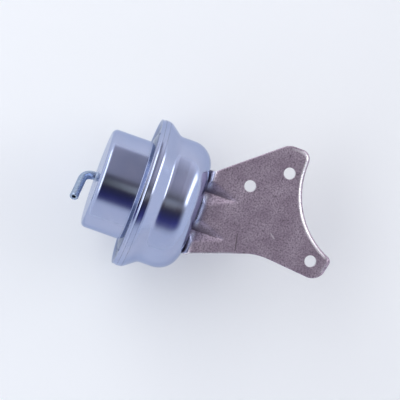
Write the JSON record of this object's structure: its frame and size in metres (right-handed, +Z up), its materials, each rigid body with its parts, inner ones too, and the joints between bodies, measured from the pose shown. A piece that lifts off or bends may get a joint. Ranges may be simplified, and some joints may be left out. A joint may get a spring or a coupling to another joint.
{
  "type": "turbo actuator",
  "caption": "Vacuum turbo actuator: a crimped two-part can with a bent hose nipple, on a stamped steel bracket, with a sprung pull rod and a threaded rod end.",
  "frame": {"origin": "centre of the bracket hole nearest the can, on the bracket's mounting face", "axes": "+X along the can's axis, from the hose nipple towards the rod end; +Z up, along the bracket's flange; -Y out of the bracket's mounting face"},
  "size_m": [0.1258, 0.072, 0.0802],
  "materials": {
    "zinc_plate": "bluish-white zinc plating, semi-gloss",
    "raw_steel": "raw stamped steel, satin",
    "bright_steel": "machined or pressed steel",
    "spring_steel": "oiled spring steel",
    "rubber": "fabric-reinforced rubber, matte",
    "resin": "glass-filled resin, matte",
    "bronze": "sintered bronze"
  },
  "bodies": {
    "housing": {"vacuum_cup": "zinc_plate", "hose_nipple": "zinc_plate", "nipple_braze": "zinc_plate", "base_can": "zinc_plate", "diaphragm": "rubber", "return_spring": "spring_steel", "spring_seat": "bright_steel", "travel_stop": "resin", "stop_ring": "rubber", "bush_housing": "bright_steel", "bush_retainer": "bright_steel", "rod_wiper": "rubber", "wiper_cap": "bright_steel", "bracket": "raw_steel", "mounting_studs": "bright_steel", "spring_washers": "spring_steel", "stud_nuts": "zinc_plate"},
    "guide": {"guide_bush": "bronze"},
    "rod": {"pull_rod": "bright_steel", "piston_cup": "bright_steel", "backing_plate": "bright_steel", "rivet_washer": "bright_steel"},
    "jam_nut": {"jam_nut": "zinc_plate"},
    "rod_end": {"rod_end": "zinc_plate", "eye_bush": "bright_steel"}
  },
  "joints": [
    {"name": "rod_tilt", "type": "hinge", "parent": "housing", "child": "guide", "pos_m": [-0.0233, 0.013, -0.0199], "axis": [0, 1, 0], "range_deg": [-1.2, 1.2], "stiffness_Nm_per_rad": 4},
    {"name": "rod_slide", "type": "slide", "parent": "guide", "child": "rod", "axis": [1, 0, 0], "range_m": [-0.012, 0], "stiffness_N_per_m": 6200, "springref_m": 0.0045, "deforming": ["return_spring", "diaphragm"]},
    {"name": "adjust_travel", "type": "slide", "parent": "rod", "child": "jam_nut", "axis": [1, 0, 0], "range_m": [-0.0024, 0.0024]},
    {"name": "rod_end_turn", "type": "hinge", "parent": "jam_nut", "child": "rod_end", "pos_m": [0.0287, 0.013, -0.0199], "axis": [1, 0, 0], "range_deg": [-1080, 1080]}
  ],
  "couplings": [
    {"joint": "adjust_travel", "follows": "rod_end_turn", "m_per_rad": 0.0001273}
  ]
}
